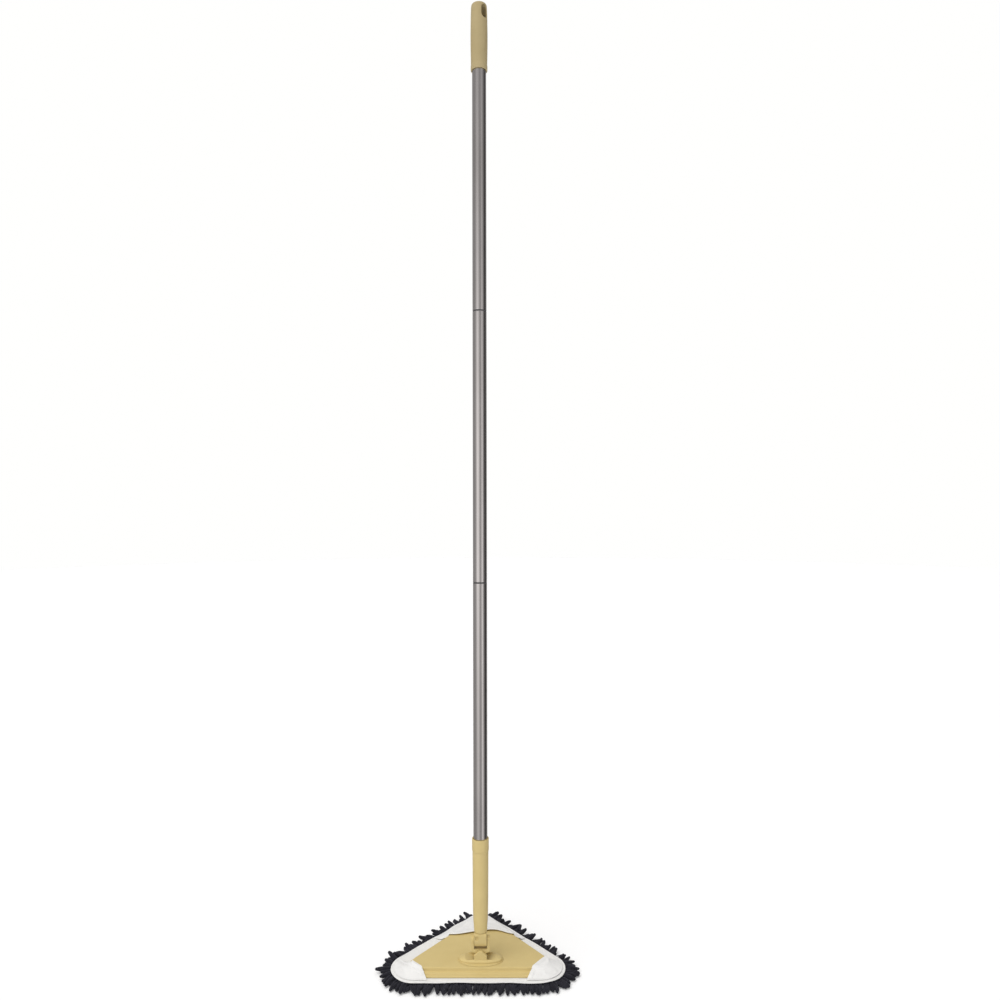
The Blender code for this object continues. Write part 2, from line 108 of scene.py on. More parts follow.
def surface(name, grid, body, look, wrap_rows=False, crease=35):
    """A closed piece from a (rows, columns, 3) grid that is joined round along its columns."""
    mesh = bpy.data.meshes.new(name)
    rows, columns = grid.shape[:2]
    mesh.from_pydata(grid.reshape(-1, 3).tolist(), [], grid_faces(rows, columns, wrap_rows).tolist())
    return finish_piece(mesh, name, body, look, crease)


def rounded(corners, steps=6):
    """Polyline whose corners (x, y, r) are quadratic curves that start and end r before the corner."""
    line = []
    t = np.linspace(0, 1, steps)[:, None]
    for k, (x, y, r) in enumerate(corners):
        here = np.array((x, y))
        if r == 0 or k in (0, len(corners) - 1):
            line.append(here[None])
            continue
        before = np.array(corners[k - 1][:2]) - here
        after = np.array(corners[k + 1][:2]) - here
        start = here + before / np.linalg.norm(before) * r
        end = here + after / np.linalg.norm(after) * r
        line.append((1 - t) ** 2 * start + 2 * t * (1 - t) * here + t ** 2 * end)
    return np.concatenate(line)


def turned_grid(profile, steps=96):
    """Rings (r cos a, r sin a, z) about the pole's axis, one for each profile point (r, z)."""
    a = np.linspace(0, 2 * pi, steps, endpoint=False)
    r, z = profile[:, :1], profile[:, 1:]
    return np.stack([r * np.cos(a), POLE_Y + r * np.sin(a), z + 0 * a], -1)


# %% [markdown]
# ## Shader sums
# A pattern is easier to read as arithmetic than as a net of nodes. A small class holds one output of a
# node, and adding or multiplying two of them adds the Math node that does it.

# %% The shader class
class Signal:
    """One output socket, with the arithmetic that patterns need."""

    def __init__(self, look, socket):
        self.look, self.socket = look, socket

    def _math(self, operation, first, second=0.0):
        return self.look.node("ShaderNodeMath", {"operation": operation}, {0: first, 1: second})

    def __add__(self, other):
        return self._math("ADD", self, other)

    def __sub__(self, other):
        return self._math("SUBTRACT", self, other)

    def __rsub__(self, other):
        return self._math("SUBTRACT", other, self)

    def __mul__(self, other):
        return self._math("MULTIPLY", self, other)

    def __rmul__(self, other):
        return self._math("MULTIPLY", other, self)

    def __truediv__(self, other):
        return self._math("DIVIDE", self, other)

    def sine(self):
        return self._math("SINE", self)

    def between(self, low, high):
        """0 below low, 1 above high, with a smooth rise."""
        return self.look.node(
            "ShaderNodeMapRange", {"interpolation_type": "SMOOTHSTEP"},
            {"Value": self, "From Min": low, "From Max": high},
        )


class Look:
    """A node tree under construction."""

    def __init__(self, tree):
        self.tree = tree
        tree.nodes.clear()

    def node(self, kind, settings=(), sockets=(), out=0):
        """Add a node: its settings first, then a value or a link for each socket."""
        made = self.tree.nodes.new(kind)
        for key, value in dict(settings).items():
            setattr(made, key, value)
        for key, value in dict(sockets).items():
            if isinstance(value, Signal):
                self.tree.links.new(value.socket, made.inputs[key])
            else:
                made.inputs[key].default_value = value
        return Signal(self, made.outputs[out] if made.outputs else None)

    def place(self, scale=(1, 1, 1)):
        """Object coordinates, stretched by scale."""
        spot = self.node("ShaderNodeTexCoord", out="Object")
        return self.node("ShaderNodeMapping", {}, {"Vector": spot, "Scale": scale})

    def noise(self, size, detail=2.0, scale=(1, 1, 1)):
        """Cloudy values about 0.5 whose blobs measure size metres."""
        return self.node(
            "ShaderNodeTexNoise", {},
            {"Vector": self.place(scale), "Scale": 1 / size, "Detail": detail, "Roughness": 0.5},
        )

    def mix(self, share, first, second):
        """Colour between two colours."""
        return self.node(
            "ShaderNodeMix", {"data_type": "RGBA"}, {"Factor": share, 6: first, 7: second}, out=2,
        )

    def bump(self, height, depth, below=None):
        """Normals of a relief whose height 0 to 1 means depth metres."""
        links = {"Height": height, "Distance": depth, "Strength": 1.0}
        if below:
            links["Normal"] = below
        return self.node("ShaderNodeBump", {}, links)


def material(name, colour, roughness, normal=None, **constants):
    """Principled material; the pattern functions get the Look and return numbers or Signals."""
    made = bpy.data.materials.new(name)
    made.use_nodes = True
    look = Look(made.node_tree)
    sockets = {"Base Color": colour(look), "Roughness": roughness(look)}
    if normal:
        sockets["Normal"] = normal(look)
    sockets.update({key.replace("_", " "): value for key, value in constants.items()})
    shader = look.node("ShaderNodeBsdfPrincipled", {}, sockets)
    look.node("ShaderNodeOutputMaterial", {}, {"Surface": shader})
    return made


# %% [markdown]
# ## Moulded plastic
# The head and the neck are injection moulded in khaki plastic with a fine spark-eroded grain. The colour
# drifts very slightly with the flow of the melt, and handling has polished it in cloudy patches. The hand
# grip is the same family of colour, but darker and a little coarser, as a softer rubbery plastic is.

# %% Plastic materials
def plastic(name, light, dark, gloss, grain):
    def colour(look):
        drift = look.noise(0.035, 3.0).between(0.3, 0.7)
        speck = look.noise(0.0009, 2.0).between(0.35, 0.75)
        return look.mix(drift * 0.55 + speck * 0.25, light, dark)

    def roughness(look):
        polish = look.noise(0.018, 4.0)
        scuff = look.noise(0.004, 2.0, (1, 1, 0.25)).between(0.58, 0.72)
        return polish * 0.12 + scuff * 0.08 + gloss

    def normal(look):
        fine = look.noise(0.0007, 2.0)
        coarse = look.noise(0.012, 1.0)
        return look.bump(fine, grain, look.bump(coarse, 0.00008))

    return material(name, colour, roughness, normal, IOR=1.46)


khaki = plastic("khaki_plastic", (0.675, 0.535, 0.232, 1), (0.620, 0.485, 0.204, 1), 0.34, 0.000035)
grip_khaki = plastic("grip_plastic", (0.500, 0.405, 0.218, 1), (0.430, 0.342, 0.172, 1), 0.42, 0.00006)
insert_grey = plastic("insert_plastic", (0.100, 0.100, 0.105, 1), (0.080, 0.080, 0.085, 1), 0.42, 0.00005)

# %% [markdown]
# ## Steel
# The pole is thin-walled stainless tube, polished along its length. Fine streaks run the long way, so the
# noise is squeezed across the tube and stretched along it. The screws and pins are plain bright steel.

# %% Steel materials
def steel(name, light, dark, gloss, streak):
    def colour(look):
        lines = look.noise(0.0010, 3.0, (1, 1, streak))
        stain = look.noise(0.06, 2.0, (1, 1, 0.5)).between(0.35, 0.75)
        return look.mix(lines * 0.5 + stain * 0.5, light, dark)

    def roughness(look):
        return look.noise(0.0007, 3.0, (1, 1, streak)) * 0.14 + look.noise(0.02, 2.0) * 0.06 + gloss

    def normal(look):
        return look.bump(look.noise(0.0006, 2.0, (1, 1, streak)), 0.000006)

    return material(name, colour, roughness, normal, Metallic=1.0)


tube_steel = steel("tube_steel", (0.68, 0.655, 0.65, 1), (0.56, 0.535, 0.525, 1), 0.12, 0.01)
pin_steel = steel("pin_steel", (0.66, 0.65, 0.64, 1), (0.50, 0.49, 0.48, 1), 0.20, 1.0)
screw_steel = steel("screw_steel", (0.60, 0.58, 0.55, 1), (0.46, 0.44, 0.42, 1), 0.24, 1.0)

# %% [markdown]
# ## Fabric
# The backing and the pockets are white polyester cloth with a small plain weave: threads cross about
# every 0.9 mm, so two sine waves at right angles make the relief. The chenille is fuzzy microfibre in
# charcoal. Its pile scatters light at grazing angles, which the shader's sheen does.

# %% Fabric materials
def weave(look, pitch):
    """Height of a plain weave: threads across and along, each above the other by turns."""
    x = look.node("ShaderNodeSeparateXYZ", {}, {0: look.place((2 * pi / pitch,) * 3)})
    y = Signal(look, x.socket.node.outputs[1])
    return x.sine() * y.sine() * 0.5 + 0.5


def cloth(name, light, dark):
    def colour(look):
        shade = look.noise(0.02, 3.0).between(0.3, 0.75)
        return look.mix(weave(look, 0.0009) * 0.35 + shade * 0.5, light, dark)

    def roughness(look):
        return look.noise(0.003, 2.0) * 0.12 + 0.82

    def normal(look):
        soft = look.bump(look.noise(0.006, 3.0), 0.0005)
        return look.bump(weave(look, 0.0009), 0.00012, soft)

    return material(name, colour, roughness, normal, Sheen_Weight=0.25, Sheen_Roughness=0.5)


backing_cloth = cloth("backing_fabric", (0.90, 0.90, 0.885, 1), (0.82, 0.82, 0.80, 1))
pocket_cloth = cloth("pocket_fabric", (0.90, 0.90, 0.885, 1), (0.80, 0.80, 0.79, 1))


def chenille_colour(look):
    pile = look.noise(0.0016, 3.0).between(0.35, 0.7)
    tone = look.noise(0.012, 1.0).between(0.3, 0.7)
    return look.mix(pile * 0.6 + tone * 0.4, (0.007, 0.007, 0.011, 1), (0.026, 0.026, 0.036, 1))


chenille = material(
    "chenille_fabric", chenille_colour,
    lambda look: look.noise(0.003, 2.0) * 0.1 + 0.88,
    lambda look: look.bump(look.noise(0.0013, 3.0), 0.0011),
    Sheen_Weight=0.12, Sheen_Roughness=0.45, Sheen_Tint=(0.55, 0.57, 0.70, 1.0),
)
print("materials:", [made.name for made in bpy.data.materials])

# %% [markdown]
# ## The pole
# Three equal tubes screw together. A tube is a profile spun about the axis: down the outside, round the
# rolled end, up the inside. The tiny radius at each end is what catches a line of shadow at the joints.

# %% Tubes
WALL = 0.0006


def tube_profile(low, high):
    """Outside down, inside up, with both ends rolled over."""
    outer, inner = TUBE_R, TUBE_R - WALL
    heights = np.linspace(high - 0.002, low + 0.002, 9)
    middle = [(outer, z, 0) for z in heights]
    return rounded(
        [(inner, high - 0.001, 0), (inner, high, 0.0002), (outer, high, 0.0005)] + middle
        + [(outer, low, 0.0005), (inner, low, 0.0002), (inner, low + 0.001, 0)]
    )


for name in ("upper_tube", "middle_tube", "lower_tube"):
    low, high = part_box(name)[0].z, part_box(name)[1].z
    wall_grid = turned_grid(tube_profile(low, high))
    tube = surface(name + "_wall", wall_grid, "pole", tube_steel, True)
    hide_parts(name)

# %% [markdown]
# ## The neck
# A long plastic sleeve that swallows the end of the tube. It has a thicker band at the mouth and tapers
# down to the swivel. Rounded corners matter more than anything else here: sharp ones look like CAD.

# %% Neck sleeve
NECK_LOW, NECK_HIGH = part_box("neck_sleeve")[0].z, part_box("neck_sleeve")[1].z
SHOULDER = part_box("lower_tube")[0].z - 0.0003
bore = TUBE_R + 0.0003
neck_profile = rounded([
    (0.0078, NECK_LOW + 0.004, 0), (0.0078, NECK_LOW, 0.0006), (0.0099, NECK_LOW, 0.0008),
    (0.0103, NECK_LOW + 0.0018, 0.001),
    (0.0107, 0.0760, 0.002), (0.0113, 0.084, 0.004), (0.0118, 0.098, 0.006), (0.0121, 0.118, 0.008),
    (0.0124, 0.168, 0.008), (0.01255, NECK_HIGH - 0.0200, 0.0008), (0.0130, NECK_HIGH - 0.0190, 0.0008),
    (0.01315, NECK_HIGH - 0.0170, 0.0010), (0.01315, NECK_HIGH - 0.0003, 0.0006),
    (0.0128, NECK_HIGH, 0.0003), (bore, NECK_HIGH, 0.0006), (bore, SHOULDER, 0), (0.0092, SHOULDER, 0),
    (0.0092, 0.0980, 0), (0.0078, 0.0960, 0),
])
neck = surface("neck_sleeve_shell", turned_grid(neck_profile), "pole", khaki, True)
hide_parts("neck_sleeve")

# %% [markdown]
# ## Softening a moulded part
# The swivel and the grip are shapes with holes cut in them, which a grid cannot make simply. Moulded
# plastic has no sharp edges, so a copy of the engineering part is wrapped in a fine skin of small squares
# (a voxel remesh) and relaxed a few times: edges come out with a radius of about half a millimetre.

# %% Softened copies
def softened(name, node, voxel, passes, body, look, settle=None):
    """Merged copy of a node, remeshed and relaxed: each point moves towards the mean of its neighbours."""
    work = bmesh.new()
    work.from_mesh(NODES[node].data)
    bmesh.ops.remove_doubles(work, verts=work.verts, dist=1e-6)
    mesh = bpy.data.meshes.new(name)
    work.to_mesh(mesh)
    work.free()
    rough = bpy.data.objects.new(name + "_rough", mesh)
    bpy.context.scene.collection.objects.link(rough)
    skin = rough.modifiers.new("skin", "REMESH")
    skin.mode, skin.voxel_size, skin.adaptivity = "VOXEL", voxel, 0
    relax = rough.modifiers.new("relax", "SMOOTH")
    relax.factor, relax.iterations = 0.5, passes
    done = bpy.data.meshes.new_from_object(rough.evaluated_get(bpy.context.evaluated_depsgraph_get()))
    bpy.data.objects.remove(rough)
    if settle:
        count = len(done.vertices)
        flat = np.empty(count * 3, np.float32)
        done.vertices.foreach_get("co", flat)
        done.vertices.foreach_set("co", settle(flat.reshape(-1, 3)).astype(np.float32).ravel())
    piece = finish_piece(done, name, body, look, crease=None)
    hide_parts(node)
    return piece


softened("swivel_base_moulding", "swivel_base", 0.00038, 4, "head", khaki)
softened("swivel_yoke_moulding", "swivel_yoke", 0.00032, 4, "cross", khaki)
softened("swivel_knuckle_moulding", "swivel_knuckle", 0.00032, 4, "pole", khaki)

# %% [markdown]
# ## The hand grip
# A closed sleeve with a slot through its top, for hanging the mop on a hook. After the remesh its wall
# shows faint steps, so every point that is away from the slot is put back on the exact turned radius.

# %% Hand grip
GRIP_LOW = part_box("hand_grip")[0].z
top = TOTAL_HEIGHT
grip_outer = rounded([
    (0.0, top, 0), (0.0100, top, 0.0010), (0.0118, top - 0.0010, 0.0012), (0.0124, top - 0.0040, 0.0014),
    (0.0127, top - 0.010, 0.003), (0.0130, top - 0.020, 0.005), (0.0134, top - 0.048, 0.008),
    (0.0133, top - 0.070, 0.008), (0.0128, GRIP_LOW + 0.0097, 0.0010), (0.0131, GRIP_LOW + 0.0080, 0.0010),
    (0.0132, GRIP_LOW + 0.0008, 0.0005), (0.0126, GRIP_LOW, 0),
])


def on_turned_wall(points):
    """Points within 0.35 mm of the turned outer wall, on its upright part, take its exact radius."""
    x, y = points[:, 0], points[:, 1] - POLE_Y
    r = np.hypot(x, y)
    z = points[:, 2]
    order = np.argsort(grip_outer[:, 1])
    exact = np.interp(z, grip_outer[order, 1], grip_outer[order, 0])
    upright = (z < top - 0.004) & (z > GRIP_LOW + 0.0015) & (np.abs(r - exact) < 0.00035)
    scale = np.where(upright, exact / np.maximum(r, 1e-6), 1.0)
    return np.stack([x * scale, y * scale + POLE_Y, z], -1)


softened("hand_grip_moulding", "hand_grip", 0.00055, 3, "pole", grip_khaki, on_turned_wall)

# %% [markdown]
# ## Rounded triangles
# The plate, its cloth and the pad are all the same kind of outline: a front line and two sides, with an
# arc at each corner. Each ring has the same number of points at the same places along it, so rings of
# different sizes can be joined into one skin.

# %% Triangle outlines
ARC_POINTS, SIDE_POINTS = 22, 56
PLATE_CORNER_R = 0.0260
PAD_SHIFT = 0.0040


def triangle_ring(angle, front, side, corner_r, apex_r):
    """Arcs of the corners as centre + r (cos a, sin a), joined by evenly divided straight runs."""
    a = radians(angle)
    corner_x = (side - front * cos(a)) / sin(a) - corner_r / tan(a / 2)
    spots = [((corner_x, front + corner_r), corner_r, -90, 90 - angle),
             ((0, (side - apex_r) / cos(a)), apex_r, 90 - angle, 90 + angle),
             ((-corner_x, front + corner_r), corner_r, 90 + angle, 270)]
    arcs = []
    for centre, r, start, end in spots:
        t = np.radians(np.linspace(start, end, ARC_POINTS))
        arcs.append(np.array(centre) + r * np.stack([np.cos(t), np.sin(t)], -1))
    parts = []
    t = np.linspace(0, 1, SIDE_POINTS + 2)[1:-1, None]
    for this, following in zip(arcs, arcs[1:] + arcs[:1]):
        parts += [this, this[-1] + t * (following[0] - this[-1])]
    return np.concatenate(parts)


def plate_ring(front_inset, side_inset):
    corner_r = PLATE_CORNER_R - side_inset
    return triangle_ring(52.0, -0.0334 + front_inset, 0.0937 - side_inset, corner_r, corner_r)


def pad_ring(grow):
    """The pad was not pulled on quite straight, so it sits a little to the left of the plate."""
    ring = triangle_ring(48.5, -0.0436 - grow, 0.1110 + grow, 0.0410 + grow, 0.0240 + grow)
    return ring - (PAD_SHIFT, 0)


def lifted(ring, z):
    """Outline about the pole's axis, as points of the row frame at height z."""
    return np.column_stack([ring[:, 0], ring[:, 1] + POLE_Y, np.broadcast_to(z, len(ring))])


print("outline points:", len(plate_ring(0, 0)))

# %% [markdown]
# ## The plate
# A hollow moulding with a stepped front: floor flange, a narrow ledge, then a steep riser to the flat top.
# Its rings are the triangle at a growing inset, with rounded corners in between, and the swivel's window
# is cut out with a Boolean. Weighted normals keep the flat top looking flat up to its rounded rim.

# %% Mop plate
steps = rounded([
    (0.0140, PLATE_LOW, 0), (0.0002, PLATE_LOW, 0.0003), (0.0000, 0.0130, 0.0003), (0.0001, 0.0140, 0.0005),
    (0.0008, 0.0145, 0.0004), (0.0044, 0.0149, 0.0004), (0.0047, 0.0160, 0.0005), (0.0054, 0.0165, 0.0004),
    (0.0110, 0.0170, 0.0006), (0.0116, 0.0208, 0.0010), (0.0124, PLATE_TOP, 0.0009), (0.0150, PLATE_TOP, 0),
], 5)
SIDE_SHARE = 0.71
outer = np.stack([lifted(plate_ring(d, d * SIDE_SHARE), z) for d, z in steps])
ceiling = PLATE_TOP - 0.0022
cavity_ring = plate_ring(0.0140, 0.0104)


def closed_block(name, rings):
    """Plain closed mesh from a stack of outlines, capped at both ends."""
    mesh = bpy.data.meshes.new(name)
    rows, columns = rings.shape[:2]
    faces = grid_faces(rows, columns).tolist()
    faces += [list(range(columns))[::-1], list(range((rows - 1) * columns, rows * columns))]
    mesh.from_pydata(rings.reshape(-1, 3).tolist(), [], faces)
    work = bmesh.new()
    work.from_mesh(mesh)
    bmesh.ops.recalc_face_normals(work, faces=work.faces)
    work.to_mesh(mesh)
    work.free()
    block = bpy.data.objects.new(name, mesh)
    bpy.context.scene.collection.objects.link(block)
    return block


def carved(name, body_block, cutters, body, look):
    """The block less its cutters, as one finished piece."""
    for cutter in cutters:
        step = body_block.modifiers.new("cut", "BOOLEAN")
        step.operation, step.solver, step.object = "DIFFERENCE", "EXACT", cutter
    mesh = bpy.data.meshes.new_from_object(body_block.evaluated_get(bpy.context.evaluated_depsgraph_get()))
    for spent in [body_block, *cutters]:
        bpy.data.objects.remove(spent)
    piece = finish_piece(mesh, name, body, look, crease=38)
    weigh = piece.modifiers.new("even_normals", "WEIGHTED_NORMAL")
    weigh.keep_sharp, weigh.weight = True, 80
    return piece


window = np.array([(-0.034, -0.0072), (0.034, -0.0072), (0.034, 0.0072), (-0.034, 0.0072)])
plate = carved(
    "mop_plate_moulding",
    closed_block("plate_block", outer),
    [
        closed_block(
            "cavity", np.stack([lifted(cavity_ring, PLATE_LOW - 0.001), lifted(cavity_ring, ceiling)]),
        ),
        closed_block("window", np.stack([lifted(window, 0.015), lifted(window, 0.03)])),
    ],
    "head", khaki,
)
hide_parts("mop_plate")

# %% [markdown]
# ## The cloth under the plate
# A white cloth covers the pad and shows as a rim round the plate. Its section runs out along the bottom,
# round the folded hem and back over the top, with a dip where the hem is sewn. The free rim waves by about
# half a millimetre: sums of a few sines along the outline, fading to nothing where the plate presses it.

# %% Backing cloth
rng = np.random.default_rng(7)


def ripple(points, wave, strength, seed):
    """Smooth unevenness: the mean of six sine waves in random directions and phases."""
    draw = np.random.default_rng(seed)
    turn, phase = draw.uniform(0, 2 * pi, (2, 6))
    length = wave * draw.uniform(0.7, 1.5, 6)
    run = points[..., :1] * np.cos(turn) + points[..., 1:2] * np.sin(turn)
    return strength * np.sin(2 * pi * run / length + phase).mean(-1) * 2.0


section = rounded([
    (0.0200, BACKING_LOW + 0.0001, 0), (0.0012, BACKING_LOW + 0.0001, 0.0005), (0.0001, 0.0104, 0.0005),
    (0.0000, 0.0115, 0.0006), (0.0009, 0.0121, 0.0006), (0.0020, 0.01215, 0.0004), (0.0027, 0.01185, 0.0004),
    (0.0036, 0.01215, 0.0006), (0.0070, 0.0122, 0.001), (0.0100, 0.0120, 0.001), (0.0200, 0.0120, 0),
], 5)
rim = np.stack([lifted(pad_ring(-d), z) for d, z in section])
free = np.clip(1 - section[:, 0] / 0.008, 0, 1)[:, None]
rim[..., 2] += free * ripple(rim, 0.045, 0.0006, 3)
rim[..., 2] = np.maximum(rim[..., 2], BACKING_LOW - 0.0002)
rim[..., :2] *= 1 + (free * ripple(rim, 0.060, 0.0035, 5))[..., None]
middle = np.array([0, POLE_Y + 0.02, 0])
share = np.linspace(0, 1, 9)[1:]


def filled(ring):
    """Rings that shrink from a ring to its middle point."""
    centre = middle + np.array([0, 0, ring[0, 2]])
    return ring + (centre - ring) * share[:, None, None]


backing_grid = np.concatenate([filled(rim[0])[::-1], rim, filled(rim[-1])])
backing = surface("backing_cloth", backing_grid, "head", backing_cloth, crease=50)
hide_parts("pad_backing")


def outline_area(ring):
    """Shoelace formula: half the sum of the cross products of neighbouring points."""
    x, y = ring[:, 0], ring[:, 1]
    return abs(np.dot(x, np.roll(y, -1)) - np.dot(y, np.roll(x, -1))) / 2


pad_flat = pad_ring(0)
pad_size = np.ptp(pad_flat, axis=0)
print("backing flat size", pad_size.round(4), "area", round(outline_area(pad_flat), 5))

# %% [markdown]
# ## Pockets
# Three pieces of the same cloth are sewn to the rim, and each holds a corner of the plate. Cloth pulled
# over a corner runs from the seam up to the plate's top edge and then lies flat on it, up to its hemmed
# mouth. Beside the mouth it is tucked down on to the plate's steps, so that no dark tunnel is left open.
# Each pocket is a grid: one way along the seam, the other way from the seam to the mouth.

# %% Distances to an outline
def gap_to(points, ring):
    """Distance from each point to a closed outline, positive inside: the least distance to any edge."""
    start, end = ring, np.roll(ring, -1, axis=0)
    way = end - start
    to = points[:, None, :] - start[None]
    t = np.clip((to * way).sum(-1) / (way ** 2).sum(-1), 0, 1)
    far = np.linalg.norm(to - t[..., None] * way, axis=-1).min(1)
    x, y = points[:, None, 0], points[:, None, 1]
    crosses = (start[:, 1] > y) != (end[:, 1] > y)
    rise = np.where(way[:, 1] == 0, 1e-12, way[:, 1])
    inside = (crosses & (x < start[:, 0] + way[:, 0] * (y - start[:, 1]) / rise)).sum(1) % 2 == 1
    return np.where(inside, far, -far)


def spread(path, count):
    """The same path with its points evenly spaced along it."""
    along = np.concatenate([[0], np.cumsum(np.linalg.norm(np.diff(path, axis=0), axis=1))])
    even = np.linspace(0, along[-1], count)
    return np.column_stack([np.interp(even, along, path[:, k]) for k in range(path.shape[1])])


def curve_through(points, count):
    """Catmull-Rom curve: each span is a cubic whose end slopes follow the neighbouring points."""
    p = np.array(points, float)
    p = np.vstack([2 * p[0] - p[1], p, 2 * p[-1] - p[-2]])
    t = np.linspace(0, 1, 24, endpoint=False)[:, None]
    spans = [
        0.5 * (2 * b + (c - a) * t + (2 * a - 5 * b + 4 * c - d) * t ** 2 + (3 * b - a - 3 * c + d) * t ** 3)
        for a, b, c, d in zip(p, p[1:], p[2:], p[3:])
    ]
    return spread(np.vstack(spans + [p[-2:-1]]), count)


# %% Pocket surface
TOP_EDGE = plate_ring(0.0118, 0.0084)
SEAM_RING = pad_ring(-0.0042)
SEAM_Z, REST_Z = BACKING_TOP + 0.0011, PLATE_TOP + 0.0014
CLOTH = 0.0009
FALL_POWER, FALL_ROUND = 0.68, 0.004
TUCK_WIDE, TUCK_CLEAR = 0.016, 0.0008
HEM_WIDE, HEM_STITCH, SEAM_STITCH = 0.0068, 0.0056, 0.0022
STEP_SHARE = (0, 0.37, 0.46, 0.80, 0.93, 1.0)
STEP_Z = (0.0150, 0.0160, 0.0172, 0.0185, 0.0212, 0.0228)


def seam_between(start, end, forward):
    """The stretch of the seam outline from the point nearest start to the one nearest end."""
    first = np.argmin(np.linalg.norm(SEAM_RING - start, axis=1))
    last = np.argmin(np.linalg.norm(SEAM_RING - end, axis=1))
    count = len(SEAM_RING)
    steps_on = (last - first) % count if forward else (first - last) % count
    order = (first + np.arange(steps_on + 1) * (1 if forward else -1)) % count
    return SEAM_RING[order]


def pocket_height(flat, to_mouth):
    """Stretched cloth: level over the plate, and a fall from its top edge to the seam.

    Near the mouth nothing holds it up, and it is tucked down to just above the steps and the backing.
    """
    inside = gap_to(flat, TOP_EDGE)
    from_seam = np.maximum(gap_to(flat, SEAM_RING), 0)
    outside = np.maximum(-inside, 0)
    fall = outside / np.maximum(outside + from_seam, 1e-6)
    fall = np.sqrt(fall ** 2 + FALL_ROUND) - np.sqrt(FALL_ROUND) * (1 - fall)
    taut = REST_Z - (REST_Z - SEAM_Z) * np.clip(fall, 0, 1) ** FALL_POWER
    from_foot = gap_to(flat, plate_ring(0, 0))
    climb = np.clip(from_foot / np.maximum(from_foot + outside, 1e-6), 0, 1)
    steps_z = np.interp(climb, STEP_SHARE, STEP_Z) - np.clip(-from_foot, 0, 0.003) * 0.8
    tucked = np.maximum(steps_z, BACKING_TOP + TUCK_CLEAR / 2) + TUCK_CLEAR
    near = np.clip(1 - to_mouth / TUCK_WIDE, 0, 1)
    near = near ** 2 * (3 - 2 * near)
    return taut + (np.minimum(taut, tucked) - taut) * near


def pocket(name, node, mouth, forward, lift, seed, across=150, deep=44):
    """Grid between the seam (v = 0) and the mouth (v = 1), given thickness downwards."""
    mouth_path = curve_through(mouth, across)
    seam_path = spread(seam_between(mouth_path[0], mouth_path[-1], forward), across)
    mouth_path[0], mouth_path[-1] = seam_path[0], seam_path[-1]
    v = np.linspace(0, 1, deep)
    flat = seam_path[:, None] * (1 - v[:, None]) + mouth_path[:, None] * v[:, None]
    to_mouth = np.linalg.norm(flat - mouth_path[:, None], axis=-1)
    z = pocket_height(flat.reshape(-1, 2), to_mouth.ravel()).reshape(across, deep)
    u = np.linspace(0, 1, across)[:, None]
    crown = np.sin(pi * u) ** 3
    to_seam = np.linalg.norm(flat - seam_path[:, None], axis=-1)
    hem = np.clip((HEM_WIDE - to_mouth) / 0.0008, 0, 1) * np.clip(to_seam / 0.004, 0, 1)
    stitch = np.exp(-((to_mouth - HEM_STITCH) / 0.0005) ** 2) * np.clip(to_seam / 0.004, 0, 1)
    seam_dip = np.exp(-((to_seam - SEAM_STITCH) / 0.0007) ** 2) * np.clip(to_mouth / 0.004, 0, 1)
    folds = np.abs(ripple(np.dstack([flat[..., 0], flat[..., 1]]), 0.020, 0.0005, seed))
    span = np.clip(to_seam / 0.006, 0, 1) * np.clip(to_mouth / 0.006, 0, 1)
    z = z + 0.0005 * hem - 0.0003 * stitch - 0.0003 * seam_dip + folds * span
    z = z + lift * crown * np.clip(1 - to_mouth / 0.020, 0, 1) ** 1.5
    thick = CLOTH * np.clip(np.minimum(u, 1 - u) * across / 3, 0.02, 1) * (1 + 0.6 * hem)
    upper = np.dstack([flat[..., 0], flat[..., 1] + POLE_Y, z + thick / 2])
    lower = np.dstack([flat[..., 0], flat[..., 1] + POLE_Y, z - thick / 2])
    out = flat[:, -1] - flat[:, -6]
    out = out / np.maximum(np.linalg.norm(out, axis=1, keepdims=True), 1e-6)
    lip = (upper[:, -1] + lower[:, -1]) / 2
    lip[:, :2] += out * (thick[:, -1:] * 0.5)
    loop = np.concatenate([upper, lip[:, None], lower[:, ::-1]], axis=1)
    piece = surface(name, loop, "head", pocket_cloth, crease=60)
    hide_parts(node)
    along, inward = upper[1:, :-1] - upper[:-1, :-1], upper[:-1, 1:] - upper[:-1, :-1]
    area = np.linalg.norm(np.cross(along, inward), axis=-1).sum()
    size = np.ptp(np.concatenate([seam_path, mouth_path]), axis=0)
    print(f"{name}: area {area:.5f}, box {size.round(4)}")
    return piece, area, size, upper, to_mouth, to_seam


pockets = {}
pockets["left"] = pocket(
    "left_pocket_cloth", "left_pocket",
    [(-0.1265, 0.0190), (-0.1075, -0.0052), (-0.0905, -0.0222), (-0.0845, -0.0334), (-0.0805, -0.0396)],
    True, 0.0003, 11,
)
pockets["right"] = pocket(
    "right_pocket_cloth", "right_pocket",
    [(0.1245, 0.0215), (0.1035, 0.0060), (0.0815, -0.0209), (0.0745, -0.0334), (0.0705, -0.0396)],
    False, 0.0003, 12,
)
pockets["rear"] = pocket(
    "rear_pocket_cloth", "rear_pocket",
    [(0.0710, 0.0740), (0.0500, 0.0712), (0.0243, 0.0815),
     (0, 0.0790), (-0.0430, 0.0694), (-0.0760, 0.0745)],
    True, 0.0016, 13, across=200, deep=60,
)

# %% [markdown]
# ## Stitches
# Lines of white thread hold the hems. A stitch is a small capsule that lies along its line, and hundreds
# of them are one array: a unit capsule, turned and moved to each place at once.

# %% Stitches
STITCH_PITCH, STITCH_LENGTH, THREAD_R = 0.0031, 0.0023, 0.00032


